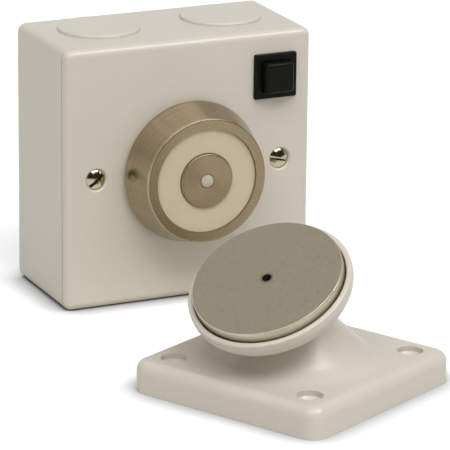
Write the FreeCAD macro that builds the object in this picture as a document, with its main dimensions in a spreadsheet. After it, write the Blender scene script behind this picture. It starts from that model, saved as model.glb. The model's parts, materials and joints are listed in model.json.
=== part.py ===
import FreeCAD, Part
import math
import os
from types import SimpleNamespace

import Sketcher
from FreeCAD import Placement, Rotation, Vector

# Electromagnetic door holder: a wall box with a holding magnet and a release
# button, and the keeper with its swivelling steel disc that goes on the door.
# Millimetres and degrees. +Z is up and the magnet faces -Y. The origin is the
# middle of the box's wall face, and both units stand on the plane under the box.

SIZES = {
    # Box
    "box_side": 80.0,
    "box_depth": 35.8,
    "box_wall": 2.5,
    "box_back": 2.5,
    "box_corner_land": 0.3,
    "box_inner_corner": 1.2,
    "box_back_round": 1.0,
    "joint_round": 0.18,
    "pillar_radius": 4.2,
    "pillar_web": 3.0,
    "pillar_drop": 0.3,
    "wall_fixing_pitch": 40.0,
    "wall_fixing_radius": 2.25,
    "cable_hole_radius": 8.0,
    "cable_hole_height": 20.0,
    # Blanking plugs on the top
    "plug_offset": 20.0,
    "plug_depth": 16.0,
    "plug_hole_radius": 10.2,
    "plug_flange_radius": 12.5,
    "plug_proud": 1.0,
    "plug_edge_round": 0.7,
    "plug_membrane": 1.8,
    "plug_skirt": 1.2,
    "plug_reach": 6.0,
    "plug_bead": 0.4,
    "plug_fit": 0.1,
    # Front plate
    "plate_thick": 2.6,
    "plate_land": 0.05,
    "lip_depth": 1.6,
    "lip_width": 1.5,
    "lip_fit": 0.3,
    # Cover screws and their inserts
    "cover_screw_pitch": 60.0,
    "screw_head_radius": 3.12,
    "screw_head_rise": 1.15,
    "screw_sink_margin": 0.55,
    "screw_shank_radius": 1.65,
    "screw_hole_radius": 2.0,
    "screw_length": 12.0,
    "screw_slot_width": 1.0,
    "screw_slot_depth": 1.6,
    "left_slot_angle": 41.0,
    "right_slot_angle": -12.0,
    "insert_radius": 2.4,
    "insert_length": 8.0,
    "insert_relief": 1.5,
    "thread_fit": 0.05,
    # Magnet
    "shell_foot_radius": 20.0,
    "shell_foot": 1.8,
    "shell_base_radius": 21.7,
    "shell_land": 1.0,
    "shell_rim_radius": 18.9,
    "shell_reach": 13.3,
    "shell_back": 4.0,
    "shell_bore_radius": 16.0,
    "shell_edge_round": 0.45,
    "face_recess": 0.8,
    "core_radius": 8.25,
    "core_edge_round": 0.4,
    "tail_radius": 5.0,
    "tail_reach": 12.4,
    "tail_fit": 0.15,
    "potting_thick": 2.6,
    "potting_fit": 0.03,
    "bobbin_wall": 1.0,
    "bobbin_fit": 0.1,
    "bobbin_margin": 0.3,
    "winding_margin": 0.9,
    "winding_fit": 0.02,
    "washer_radius": 10.0,
    "washer_thick": 1.5,
    "nut_flats": 17.0,
    "nut_height": 6.0,
    "lead_hole_radius": 1.9,
    "lead_hole_offset": 13.0,
    # Ejector pin
    "pin_radius": 1.95,
    "pin_fit": 0.22,
    "pin_proud": 0.5,
    "pin_dome_radius": 5.0,
    "pin_collar_radius": 2.75,
    "pin_collar_length": 2.0,
    "pin_tail_radius": 1.4,
    "pin_tail_length": 4.0,
    "chamber_radius": 3.0,
    "chamber_depth": 5.0,
    "ejector_wire": 0.35,
    "ejector_coil_radius": 2.2,
    "ejector_turns": 8.0,
    "plug_screw_length": 4.0,
    "plug_slot_width": 0.8,
    "plug_slot_depth": 1.2,
    # Release button
    "button_from_right": 12.2,
    "button_from_top": 13.6,
    "bezel_side": 13.8,
    "bezel_proud": 1.2,
    "bezel_corner": 0.6,
    "bezel_edge_round": 0.4,
    "housing_side": 12.6,
    "housing_depth": 14.4,
    "housing_wall": 0.6,
    "housing_lip": 1.8,
    "housing_fit": 0.1,
    "cap_side": 9.2,
    "cap_proud": 4.6,
    "cap_corner": 1.1,
    "cap_edge_round": 0.9,
    "cap_fit": 0.2,
    "cap_skirt": 1.4,
    "cap_tab_width": 4.0,
    "cap_tab_thick": 0.8,
    "cap_tab_reach": 0.4,
    "collar_radius": 3.2,
    "collar_length": 4.0,
    "stem_radius": 2.0,
    "stem_length": 3.5,
    "bridge_length": 9.6,
    "bridge_width": 6.0,
    "bridge_thick": 0.6,
    "bridge_fit": 0.15,
    "blade_thick": 0.6,
    "blade_width": 2.4,
    "blade_gap": 0.1,
    "blade_hook": 1.8,
    "blade_tail": 4.0,
    "switch_base_thick": 1.5,
    "button_wire": 0.5,
    "button_coil_radius": 2.6,
    "button_turns": 6.0,
    # Terminal block
    "terminal_pitch": 8.0,
    "terminal_width": 26.0,
    "terminal_breadth": 9.0,
    "terminal_height": 11.0,
    "terminal_from_bottom": 14.0,
    "clamp_width": 4.0,
    "clamp_breadth": 6.0,
    "clamp_height": 6.0,
    "clamp_fit": 0.2,
    "clamp_bore": 1.5,
    "wire_height": 3.5,
    "terminal_screw_radius": 1.2,
    "terminal_head_radius": 1.7,
    "terminal_head_height": 1.6,
    "terminal_slot_width": 0.6,
    "terminal_slot_depth": 0.7,
    # Internal leads
    "lead_radius": 0.6,
    "lead_spread": 1.5,
    "lead_run_height": 12.0,
    # Keeper base
    "keeper_x": -4.95,
    "keeper_y": -121.3,
    "keeper_yaw": 27.5,
    "base_side": 65.0,
    "base_thick": 9.1,
    "base_corner": 4.8,
    "base_edge_round": 3.2,
    "base_hole_pitch": 47.4,
    "base_hole_radius": 2.25,
    "base_sink_radius": 3.75,
    "base_sink_depth": 1.5,
    "base_rim": 3.0,
    "base_skin": 3.0,
    "base_rib": 3.0,
    "base_pocket_width": 8.5,
    "base_pocket_length": 15.0,
    "boss_height": 20.3,
    "boss_top_radius": 11.6,
    "boss_foot_radius": 23.4,
    "boss_foot_round": 9.0,
    "boss_top_round": 0.5,
    # Swivel
    "pivot_height": 12.0,
    "lean_azimuth": -149.2,
    "tilt": 30.26,
    "ball_radius": 8.0,
    "ball_fit": 0.3,
    "lip_radius": 7.2,
    "mouth_radius": 10.2,
    "seat_radius": 10.3,
    "seat_fit": 0.3,
    "seat_drop": 0.4,
    "seat_lift": 1.25,
    "spring_bore": 5.0,
    "spring_thick": 0.5,
    "spring_margin": 0.2,
    "retainer_radius": 17.2,
    "retainer_thick": 1.5,
    "retainer_top": 3.6,
    "retainer_fit": 0.3,
    "retainer_bore": 4.5,
    "retainer_screw_ring": 14.0,
    "retainer_screw_radius": 1.2,
    "retainer_head_radius": 2.6,
    "retainer_head_height": 1.5,
    "retainer_screw_length": 7.0,
    "retainer_hole_radius": 1.6,
    # Head of the keeper
    "head_reach": 27.0,
    "disc_radius": 21.55,
    "disc_thick": 6.0,
    "disc_edge_round": 0.3,
    "disc_hole_radius": 1.25,
    "disc_front_wall": 1.4,
    "dish_radius": 23.55,
    "dish_gap": 0.35,
    "dish_rim_drop": 2.55,
    "dish_rim_round": 0.6,
    "dish_floor": 3.85,
    "dish_round": 5.8,
    "neck_radius": 3.2,
    "flange_radius": 6.0,
    "flange_thick": 2.0,
    "tip_radius": 3.0,
    "tip_length": 7.5,
    "tip_fit": 0.05,
    "lock_washer_radius": 5.3,
    "lock_washer_thick": 1.0,
    "lock_washer_fit": 0.15,
}


class Size:
    """A length or an angle: its number, and the sheet expression that gives it."""

    def __init__(self, text, number):
        self.text = text
        self.number = number

    def __add__(self, other):
        other = as_size(other)
        return Size(f"({self.text} + {other.text})", self.number + other.number)

    def __sub__(self, other):
        other = as_size(other)
        return Size(f"({self.text} - {other.text})", self.number - other.number)

    def __mul__(self, other):
        other = as_size(other)
        return Size(f"({self.text} * {other.text})", self.number * other.number)

    def __truediv__(self, other):
        other = as_size(other)
        return Size(f"({self.text} / {other.text})", self.number / other.number)

    def __neg__(self):
        return Size(f"(0 - {self.text})", -self.number)


def as_size(value):
    if isinstance(value, Size):
        return value
    return Size(f"({value:.9f})", float(value))


def root(size):
    return Size(f"sqrt({size.text})", math.sqrt(size.number))


def make_sheet():
    """The driving sizes, one aliased cell each, and the names that stand for them."""
    sheet = doc.addObject("Spreadsheet::Sheet", "Sizes")
    names = {}
    for row, (alias, number) in enumerate(SIZES.items(), start=1):
        sheet.set(f"A{row}", alias)
        sheet.set(f"B{row}", str(number))
        sheet.setAlias(f"B{row}", alias)
        names[alias] = Size(f"Sizes.{alias}", number)
    doc.recompute()
    return SimpleNamespace(**names)


doc = FreeCAD.newDocument("door_holder")
s = make_sheet()
ZERO = as_size(0)

# Heights and places that several pieces share
plate_front = s.box_depth + s.plate_thick
front_round = s.plate_thick - s.joint_round - s.plate_land
box_corner = front_round + s.box_corner_land
pillar_top = s.box_depth - s.lip_depth - s.pillar_drop
magnet_face = s.shell_reach - s.face_recess
bobbin_front = magnet_face - s.potting_thick
chamber_top = s.shell_reach - s.chamber_depth
winding_back = s.shell_back + s.bobbin_wall + s.winding_fit
floor_level = -s.box_side / 2
dish_back = s.head_reach - s.disc_thick - s.dish_floor
disc_back = s.head_reach - s.disc_thick
seat_bottom = s.retainer_top + s.seat_lift
button_x = s.box_side / 2 - s.button_from_right
button_y = s.box_side / 2 - s.button_from_top
terminal_drop = s.box_side / 2 - s.terminal_from_bottom


# Document helpers

def bind(feature, prop, size):
    feature.setExpression(prop, as_size(size).text)


def origin_part(body, role):
    return next(item for item in body.Origin.OriginFeatures if item.Role == role)


def new_body(label):
    body = doc.addObject("PartDesign::Body", label)
    body.Label = label
    return body


def sketch_on(body, role="XY_Plane", lift=ZERO):
    sketch = body.newObject("Sketcher::SketchObject", body.Label + "_sketch")
    sketch.AttachmentSupport = (origin_part(body, role), "")
    sketch.MapMode = "FlatFace"
    bind(sketch, "AttachmentOffset.Base.z", lift)
    return sketch


def hold(sketch, kind, geometry, position, size):
    """A coordinate of one point, measured from the sketch's origin."""
    size = as_size(size)
    index = sketch.addConstraint(Sketcher.Constraint(kind, -1, 1, geometry, position, size.number))
    bind(sketch, f"Constraints[{index}]", size)


def hold_radius(sketch, geometry, size):
    index = sketch.addConstraint(Sketcher.Constraint("Radius", geometry, size.number))
    bind(sketch, f"Constraints[{index}]", size)


def arc_between(first, last, radius, turns_left):
    """Arc from one point to another, shorter than a half turn."""
    chord = last - first
    half = chord.Length / 2
    side = Vector(-chord.y, chord.x, 0).normalize()
    rise = math.sqrt(max(radius * radius - half * half, 0))
    centre = (first + last) * 0.5 + side * (rise if turns_left else -rise)
    start, end = (first, last) if turns_left else (last, first)
    angles = [math.atan2(p.y - centre.y, p.x - centre.x) for p in (start, end)]
    return Part.ArcOfCircle(Part.Circle(centre, Vector(0, 0, 1), radius), angles[0], angles[1])


def outline(sketch, corners):
    """Closed outline. A corner is (x, y), or (x, y, "left" or "right", radius)
    where an arc that turns that way runs on to the next corner."""
    first = sketch.GeometryCount
    points = [Vector(as_size(c[0]).number, as_size(c[1]).number, 0) for c in corners]
    ends = []
    for index, corner in enumerate(corners):
        start = points[index]
        end = points[(index + 1) % len(points)]
        if len(corner) == 2:
            sketch.addGeometry(Part.LineSegment(start, end), False)
            ends.append((1, 2))
        else:
            left = corner[2] == "left"
            sketch.addGeometry(arc_between(start, end, corner[3].number, left), False)
            ends.append((1, 2) if left else (2, 1))
    for index, corner in enumerate(corners):
        following = (index + 1) % len(corners)
        sketch.addConstraint(Sketcher.Constraint(
            "Coincident", first + index, ends[index][1], first + following, ends[following][0]))
        hold(sketch, "DistanceX", first + index, ends[index][0], corner[0])
        hold(sketch, "DistanceY", first + index, ends[index][0], corner[1])
    for index, corner in enumerate(corners):
        if len(corner) > 2:
            hold_radius(sketch, first + index, corner[3])


def rectangle(sketch, x, y, width, height):
    x, y, width, height = (as_size(value) for value in (x, y, width, height))
    outline(sketch, [
        (x - width / 2, y - height / 2),
        (x + width / 2, y - height / 2),
        (x + width / 2, y + height / 2),
        (x - width / 2, y + height / 2),
    ])


def circle(sketch, x, y, radius):
    x, y = as_size(x), as_size(y)
    centre = Vector(x.number, y.number, 0)
    geometry = sketch.addGeometry(Part.Circle(centre, Vector(0, 0, 1), radius.number), False)
    hold_radius(sketch, geometry, radius)
    hold(sketch, "DistanceX", geometry, 3, x)
    hold(sketch, "DistanceY", geometry, 3, y)


def add_feature(body, kind, **settings):
    feature = body.newObject(kind, body.Label + "_" + kind.split("::")[1].lower())
    for name, value in settings.items():
        setattr(feature, name, value)
    return feature


def expect_cut(body, volume):
    doc.recompute()
    if body.Shape.Volume > volume - 1e-6:
        raise RuntimeError(f"a cut in {body.Label} removed nothing")


def pad(body, sketch, length, down=False, middle=False):
    feature = add_feature(body, "PartDesign::Pad", Profile=sketch, Reversed=down, Midplane=middle)
    bind(feature, "Length", length)
    doc.recompute()
    return feature


def pocket(body, sketch, length, up=False):
    volume = body.Shape.Volume
    feature = add_feature(body, "PartDesign::Pocket", Profile=sketch, Reversed=up)
    bind(feature, "Length", length)
    expect_cut(body, volume)
    return feature


def revolve(body, corners):
    """Solid of revolution about the body's Z axis, from (radius, height) corners."""
    sketch = sketch_on(body, "XZ_Plane")
    outline(sketch, corners)
    add_feature(body, "PartDesign::Revolution", Profile=sketch,
                ReferenceAxis=(sketch, ["V_Axis"]), Angle=360)
    doc.recompute()


def groove(body, corners):
    volume = body.Shape.Volume
    sketch = sketch_on(body, "XZ_Plane")
    outline(sketch, corners)
    add_feature(body, "PartDesign::Groove", Profile=sketch, ReferenceAxis=(sketch, ["V_Axis"]), Angle=360)
    expect_cut(body, volume)


def drill(body, radius, length, x, y, z, along_y=False):
    """Round hole that starts at a point and runs along +Z, or along +Y."""
    volume = body.Shape.Volume
    hole = add_feature(body, "PartDesign::SubtractiveCylinder")
    if along_y:
        hole.Placement = Placement(Vector(), Rotation(Vector(1, 0, 0), -90))
    for axis, value in zip("xyz", (x, y, z)):
        bind(hole, f"Placement.Base.{axis}", value)
    bind(hole, "Radius", radius)
    bind(hole, "Height", length)
    expect_cut(body, volume)
    return hole


def countersink(body, small, large, x, y, top):
    """Right-angled conical sink that opens at the height top."""
    volume = body.Shape.Volume
    sink = add_feature(body, "PartDesign::SubtractiveCone")
    bind(sink, "Radius1", small)
    bind(sink, "Radius2", large)
    bind(sink, "Height", large - small)
    bind(sink, "Placement.Base.x", x)
    bind(sink, "Placement.Base.y", y)
    bind(sink, "Placement.Base.z", top - (large - small))
    expect_cut(body, volume)
    return sink


def repeat_round(body, features, count):
    """Copies of features round the body's Z axis."""
    pattern = body.newObject("PartDesign::PolarPattern", body.Label + "_pattern")
    pattern.Originals = features
    pattern.Axis = (origin_part(body, "Z_Axis"), [""])
    pattern.Angle = 360
    pattern.Occurrences = count
    body.Tip = pattern
    doc.recompute()


def fillet(body, radius, test):
    """Rounds the edges of the body that pass the test."""
    base = body.Tip
    edges = enumerate(body.Shape.Edges, start=1)
    names = [f"Edge{index}" for index, edge in edges if test(edge)]
    if not names:
        raise RuntimeError(f"no edge to round in {body.Label}")
    feature = add_feature(body, "PartDesign::Fillet", Base=(base, names))
    bind(feature, "Radius", radius)
    doc.recompute()


def is_upright(edge):
    box = edge.BoundBox
    return box.XLength < 1e-6 and box.YLength < 1e-6


def lies_at(edge, height):
    box = edge.BoundBox
    return abs(box.ZMin - height.number) < 1e-6 and abs(box.ZMax - height.number) < 1e-6


def is_ring(edge, radius, height):
    return lies_at(edge, height) and abs(edge.BoundBox.XMax - radius.number) < 1e-6


def slot(body, width, depth, top, reach):
    """Screwdriver slot along the body's X axis."""
    sketch = sketch_on(body, lift=top)
    rectangle(sketch, ZERO, ZERO, reach * 2, width)
    pocket(body, sketch, depth)


def coil_spring(label, coil_radius, wire, turns, length):
    """Open coil between z = 0 and z = length."""
    body = new_body(label)
    sketch = sketch_on(body, "XZ_Plane")
    circle(sketch, coil_radius, wire / 2, wire / 2)
    helix = add_feature(body, "PartDesign::AdditiveHelix", Profile=sketch,
                        ReferenceAxis=(sketch, ["V_Axis"]))
    helix.Mode = "height-turns-angle"
    helix.Angle = 0
    bind(helix, "Height", length - wire)
    bind(helix, "Turns", turns)
    doc.recompute()
    return body


def group(label, members):
    """Separate solids of one kind, as one named sub-part."""
    compound = doc.addObject("Part::Compound", label)
    compound.Label = label
    compound.Links = members
    doc.recompute()
    return compound


# Places. The wall frame has x to the right, y up and z out of the wall.

def place(feature, x, y, z, yaw=ZERO, pitch=ZERO, roll=ZERO):
    base = "; ".join(as_size(value).text for value in (x, y, z))
    turn = "; ".join(as_size(value).text for value in (yaw, pitch, roll))
    feature.setExpression("Placement", f"placement(vector({base}); rotation({turn}))")
    doc.recompute()
    return feature


def place_on_wall(feature, x=ZERO, y=ZERO, z=ZERO, spin=ZERO):
    return place(feature, x, -as_size(z), y, pitch=-as_size(spin), roll=90)


def place_on_floor(feature):
    return place(feature, s.keeper_x, s.keeper_y, floor_level, yaw=s.keeper_yaw)


def place_on_pivot(feature):
    height = floor_level + s.pivot_height
    return place(feature, s.keeper_x, s.keeper_y, height, yaw=s.lean_azimuth, pitch=s.tilt)


# Wall box

def make_back_box():
    body = new_body("back_box")
    inside = s.box_side - s.box_wall * 2
    half_pitch = s.cover_screw_pitch / 2
    outer = sketch_on(body)
    rectangle(outer, ZERO, ZERO, s.box_side, s.box_side)
    pad(body, outer, s.box_depth)
    fillet(body, box_corner, is_upright)
    fillet(body, s.box_back_round, lambda edge: lies_at(edge, ZERO))
    fillet(body, s.joint_round, lambda edge: lies_at(edge, s.box_depth))
    cavity = sketch_on(body, lift=s.box_depth)
    rectangle(cavity, ZERO, ZERO, inside, inside)
    pocket(body, cavity, s.box_depth - s.box_back)
    cavity_edge = inside.number / 2
    fillet(body, s.box_inner_corner,
           lambda edge: is_upright(edge) and abs(abs(edge.BoundBox.XMax) - cavity_edge) < 1e-6)
    for side in (-1, 1):
        web = sketch_on(body, lift=s.box_back / 2)
        reach = s.box_side / 2 - s.box_wall / 2 - half_pitch
        rectangle(web, (half_pitch + reach / 2) * side, ZERO, reach, s.pillar_web)
        pad(body, web, pillar_top - s.box_back / 2)
        pillar = sketch_on(body, lift=s.box_back / 2)
        circle(pillar, half_pitch * side, ZERO, s.pillar_radius)
        pad(body, pillar, pillar_top - s.box_back / 2)
    hole_depth = s.insert_length + s.insert_relief
    for side in (-1, 1):
        drill(body, s.insert_radius, hole_depth, half_pitch * side, ZERO, pillar_top - hole_depth)
        drill(body, s.wall_fixing_radius, s.box_back, s.wall_fixing_pitch / 2 * side, ZERO, ZERO)
        drill(body, s.plug_hole_radius, s.box_wall, s.plug_offset * side,
              s.box_side / 2 - s.box_wall, s.plug_depth, along_y=True)
    drill(body, s.cable_hole_radius, s.box_back, ZERO, s.cable_hole_height, ZERO)
    return place_on_wall(body)


def make_entry_plug(label, side):
    """Round blanking plug, snapped into a hole in the top of the box."""
    body = new_body(label)
    skirt = s.plug_hole_radius - s.plug_fit
    bead = s.plug_hole_radius + s.plug_bead
    bead_top = -(s.box_wall + s.plug_fit)
    bead_low = bead_top - s.plug_bead * 2
    underside = s.plug_proud - s.plug_membrane
    revolve(body, [
        (ZERO, underside),
        (skirt - s.plug_skirt, underside),
        (skirt - s.plug_skirt, -s.plug_reach),
        (skirt, -s.plug_reach),
        (skirt, bead_low),
        (bead, bead_top),
        (skirt, bead_top),
        (skirt, ZERO),
        (s.plug_flange_radius, ZERO),
        (s.plug_flange_radius, s.plug_proud),
        (ZERO, s.plug_proud),
    ])
    fillet(body, s.plug_edge_round, lambda edge: is_ring(edge, s.plug_flange_radius, s.plug_proud))
    return place(body, s.plug_offset * side, -s.plug_depth, s.box_side / 2)


def make_front_plate():
    body = new_body("front_plate")
    lip_side = s.box_side - (s.box_wall + s.lip_fit) * 2
    face = sketch_on(body, lift=s.box_depth)
    rectangle(face, ZERO, ZERO, s.box_side, s.box_side)
    pad(body, face, s.plate_thick)
    fillet(body, box_corner, is_upright)
    fillet(body, front_round, lambda edge: lies_at(edge, plate_front))
    fillet(body, s.joint_round, lambda edge: lies_at(edge, s.box_depth))
    lip = sketch_on(body, lift=s.box_depth)
    rectangle(lip, ZERO, ZERO, lip_side, lip_side)
    rectangle(lip, ZERO, ZERO, lip_side - s.lip_width * 2, lip_side - s.lip_width * 2)
    pad(body, lip, s.lip_depth, down=True)
    lip_edge = lip_side.number / 2
    fillet(body, s.box_inner_corner - s.lip_fit,
           lambda edge: is_upright(edge) and abs(abs(edge.BoundBox.XMax) - lip_edge) < 1e-6)
    cutout = sketch_on(body, lift=plate_front)
    hole_side = s.housing_side + s.housing_fit * 2
    rectangle(cutout, button_x, button_y, hole_side, hole_side)
    pocket(body, cutout, s.plate_thick + s.lip_depth)
    drill(body, s.tail_radius + s.tail_fit, s.plate_thick, ZERO, ZERO, s.box_depth)
    drill(body, s.lead_hole_radius, s.plate_thick, ZERO, -s.lead_hole_offset, s.box_depth)
    sink = s.screw_head_radius + s.screw_sink_margin
    for side in (-1, 1):
        x = s.cover_screw_pitch / 2 * side
        drill(body, s.screw_hole_radius, s.plate_thick, x, ZERO, s.box_depth)
        countersink(body, s.screw_hole_radius, sink, x, ZERO, plate_front)
    return place_on_wall(body)


def make_cover_screw(label, side, slot_angle):
    """Raised countersunk screw with a slotted head."""
    body = new_body(label)
    head = s.screw_head_radius
    rise = s.screw_head_rise
    dome = (head * head + rise * rise) / (rise * 2)
    cone_foot = s.screw_shank_radius - head
    seat = -s.screw_sink_margin
    revolve(body, [
        (ZERO, -s.screw_length),
        (s.screw_shank_radius, -s.screw_length),
        (s.screw_shank_radius, cone_foot + seat),
        (head, seat, "left", dome),
        (ZERO, rise + seat),
    ])
    slot(body, s.screw_slot_width, s.screw_slot_depth, rise + seat, head)
    return place_on_wall(body, s.cover_screw_pitch / 2 * side, ZERO, plate_front, slot_angle)


def make_cover_screws():
    return group("cover_screws", [
        make_cover_screw("cover_screw_left", -1, s.left_slot_angle),
        make_cover_screw("cover_screw_right", 1, s.right_slot_angle),
    ])


def make_thread_insert(label, side):
    body = new_body(label)
    outside = s.insert_radius - s.thread_fit
    inside = s.screw_shank_radius + s.thread_fit
    revolve(body, [
        (inside, pillar_top - s.insert_length),
        (outside, pillar_top - s.insert_length),
        (outside, pillar_top),
        (inside, pillar_top),
    ])
    return place_on_wall(body, s.cover_screw_pitch / 2 * side)


def make_thread_inserts():
    return group("thread_inserts", [
        make_thread_insert("thread_insert_left", -1),
        make_thread_insert("thread_insert_right", 1),
    ])


# Magnet. Its pieces are turned about Z, with z = 0 on the plate's front face.

def make_pole_shell():
    body = new_body("pole_shell")
    bore = s.tail_radius + s.tail_fit
    cone_foot = s.shell_foot + s.shell_land
    revolve(body, [
        (bore, ZERO),
        (s.shell_foot_radius, ZERO),
        (s.shell_base_radius, s.shell_foot),
        (s.shell_base_radius, cone_foot),
        (s.shell_rim_radius, s.shell_reach),
        (s.shell_bore_radius, s.shell_reach),
        (s.shell_bore_radius, s.shell_back),
        (bore, s.shell_back),
    ])
    fillet(body, s.shell_edge_round,
           lambda edge: is_ring(edge, s.shell_rim_radius, s.shell_reach)
           or is_ring(edge, s.shell_base_radius, cone_foot))
    drill(body, s.lead_hole_radius, s.shell_back, ZERO, -s.lead_hole_offset, ZERO)
    return place_on_wall(body, z=plate_front)


def make_core_pole():
    body = new_body("core_pole")
    pin_bore = s.pin_radius + s.pin_fit
    revolve(body, [
        (pin_bore, chamber_top),
        (s.chamber_radius, chamber_top),
        (s.chamber_radius, -s.tail_reach),
        (s.tail_radius, -s.tail_reach),
        (s.tail_radius, s.shell_back),
        (s.core_radius, s.shell_back),
        (s.core_radius, s.shell_reach),
        (pin_bore, s.shell_reach),
    ])
    fillet(body, s.core_edge_round, lambda edge: is_ring(edge, s.core_radius, s.shell_reach))
    return place_on_wall(body, z=plate_front)


def make_coil_bobbin():
    body = new_body("coil_bobbin")
    bore = s.core_radius + s.bobbin_fit
    tube = bore + s.bobbin_wall
    rim = s.shell_bore_radius - s.bobbin_margin
    revolve(body, [
        (bore, s.shell_back),
        (rim, s.shell_back),
        (rim, s.shell_back + s.bobbin_wall),
        (tube, s.shell_back + s.bobbin_wall),
        (tube, bobbin_front - s.bobbin_wall),
        (rim, bobbin_front - s.bobbin_wall),
        (rim, bobbin_front),
        (bore, bobbin_front),
    ])
    drill(body, s.lead_hole_radius, s.bobbin_wall, ZERO, -s.lead_hole_offset, s.shell_back)
    return place_on_wall(body, z=plate_front)


def make_coil_winding():
    body = new_body("coil_winding")
    inside = s.core_radius + s.bobbin_fit + s.bobbin_wall + s.winding_fit
    outside = s.shell_bore_radius - s.winding_margin
    front = bobbin_front - s.bobbin_wall - s.winding_fit
    revolve(body, [
        (inside, winding_back),
        (outside, winding_back),
        (outside, front),
        (inside, front),
    ])
    return place_on_wall(body, z=plate_front)


def make_potting_ring():
    body = new_body("potting_ring")
    inside = s.core_radius + s.potting_fit
    outside = s.shell_bore_radius - s.potting_fit
    revolve(body, [
        (inside, bobbin_front),
        (outside, bobbin_front),
        (outside, magnet_face),
        (inside, magnet_face),
    ])
    return place_on_wall(body, z=plate_front)


def make_magnet_washer():
    body = new_body("magnet_washer")
    bore = s.tail_radius + s.tail_fit
    back = -s.plate_thick - s.washer_thick
    revolve(body, [
        (bore, back),
        (s.washer_radius, back),
        (s.washer_radius, -s.plate_thick),
        (bore, -s.plate_thick),
    ])
    return place_on_wall(body, z=plate_front)


def make_magnet_nut():
    body = new_body("magnet_nut")
    front = -s.plate_thick - s.washer_thick
    corner = s.nut_flats / math.sqrt(3)
    sketch = sketch_on(body, lift=front)
    angles = [math.radians(60 * step) for step in range(6)]
    outline(sketch, [(corner * math.cos(angle), corner * math.sin(angle)) for angle in angles])
    circle(sketch, ZERO, ZERO, s.tail_radius + s.thread_fit)
    pad(body, sketch, s.nut_height, down=True)
    return place_on_wall(body, z=plate_front)


def make_ejector_pin():
    body = new_body("ejector_pin")
    tip = s.shell_reach + s.pin_proud
    sag = s.pin_dome_radius - root(s.pin_dome_radius * s.pin_dome_radius - s.pin_radius * s.pin_radius)
    collar_low = chamber_top - s.pin_collar_length
    revolve(body, [
        (ZERO, collar_low - s.pin_tail_length),
        (s.pin_tail_radius, collar_low - s.pin_tail_length),
        (s.pin_tail_radius, collar_low),
        (s.pin_collar_radius, collar_low),
        (s.pin_collar_radius, chamber_top),
        (s.pin_radius, chamber_top),
        (s.pin_radius, tip - sag, "left", s.pin_dome_radius),
        (ZERO, tip),
    ])
    return place_on_wall(body, z=plate_front)


def make_ejector_spring():
    low = -s.tail_reach + s.plug_screw_length
    high = chamber_top - s.pin_collar_length
    body = coil_spring("ejector_spring", s.ejector_coil_radius, s.ejector_wire, s.ejector_turns, high - low)
    return place_on_wall(body, z=plate_front + low)


def make_spring_plug():
    """Slotted threaded plug that closes the pin's chamber from behind."""
    body = new_body("spring_plug")
    radius = s.chamber_radius - s.thread_fit
    revolve(body, [
        (ZERO, ZERO),
        (radius, ZERO),
        (radius, s.plug_screw_length),
        (ZERO, s.plug_screw_length),
    ])
    sketch = sketch_on(body)
    rectangle(sketch, ZERO, ZERO, radius * 2, s.plug_slot_width)
    pocket(body, sketch, s.plug_slot_depth, up=True)
    return place_on_wall(body, z=plate_front - s.tail_reach)


# Release button. Its pieces have z = 0 on the plate's front face.

lip_back = s.bezel_proud - s.housing_lip
collar_back = -s.cap_skirt - s.collar_length
bridge_back = collar_back - s.bridge_thick
base_front = -s.housing_depth + s.switch_base_thick
cavity_side = s.housing_side - s.housing_wall * 2


def place_at_button(feature, z=ZERO):
    return place_on_wall(feature, button_x, button_y, plate_front + z)


def make_switch_housing():
    body = new_body("switch_housing")
    opening = s.cap_side + s.cap_fit * 2
    bezel = sketch_on(body)
    rectangle(bezel, ZERO, ZERO, s.bezel_side, s.bezel_side)
    pad(body, bezel, s.bezel_proud)
    fillet(body, s.bezel_corner, is_upright)
    fillet(body, s.bezel_edge_round, lambda edge: lies_at(edge, s.bezel_proud))
    shaft = sketch_on(body)
    rectangle(shaft, ZERO, ZERO, s.housing_side, s.housing_side)
    pad(body, shaft, s.housing_depth, down=True)
    mouth = sketch_on(body, lift=s.bezel_proud)
    rectangle(mouth, ZERO, ZERO, opening, opening)
    pocket(body, mouth, s.housing_lip)
    cavity = sketch_on(body, lift=lip_back)
    rectangle(cavity, ZERO, ZERO, cavity_side, cavity_side)
    pocket(body, cavity, s.housing_depth + lip_back)
    return place_at_button(body)


def make_button_cap():
    body = new_body("button_cap")
    block = sketch_on(body, lift=-s.cap_skirt)
    rectangle(block, ZERO, ZERO, s.cap_side, s.cap_side)
    pad(body, block, s.cap_proud + s.cap_skirt)
    fillet(body, s.cap_corner, is_upright)
    fillet(body, s.cap_edge_round, lambda edge: lies_at(edge, s.cap_proud))
    tabs = sketch_on(body, lift=lip_back)
    rectangle(tabs, ZERO, ZERO, s.cap_tab_width, s.cap_side + s.cap_tab_reach * 2)
    pad(body, tabs, s.cap_tab_thick, down=True)
    collar = sketch_on(body, lift=-s.cap_skirt)
    circle(collar, ZERO, ZERO, s.collar_radius)
    pad(body, collar, s.collar_length, down=True)
    stem = sketch_on(body, lift=collar_back)
    circle(stem, ZERO, ZERO, s.stem_radius)
    pad(body, stem, s.stem_length, down=True)
    return place_at_button(body)


def make_contact_bridge():
    body = new_body("contact_bridge")
    sketch = sketch_on(body, lift=collar_back)
    rectangle(sketch, ZERO, ZERO, s.bridge_length, s.bridge_width)
    circle(sketch, ZERO, ZERO, s.stem_radius + s.bridge_fit)
    pad(body, sketch, s.bridge_thick, down=True)
    return place_at_button(body)


def make_button_spring():
    length = bridge_back - base_front
    body = coil_spring("button_spring", s.button_coil_radius, s.button_wire, s.button_turns, length)
    return place_at_button(body, base_front)


blade_inside = s.bridge_length / 2 + s.blade_gap
blade_outside = blade_inside + s.blade_thick
hook_front = collar_back + s.blade_gap + s.blade_thick


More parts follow.
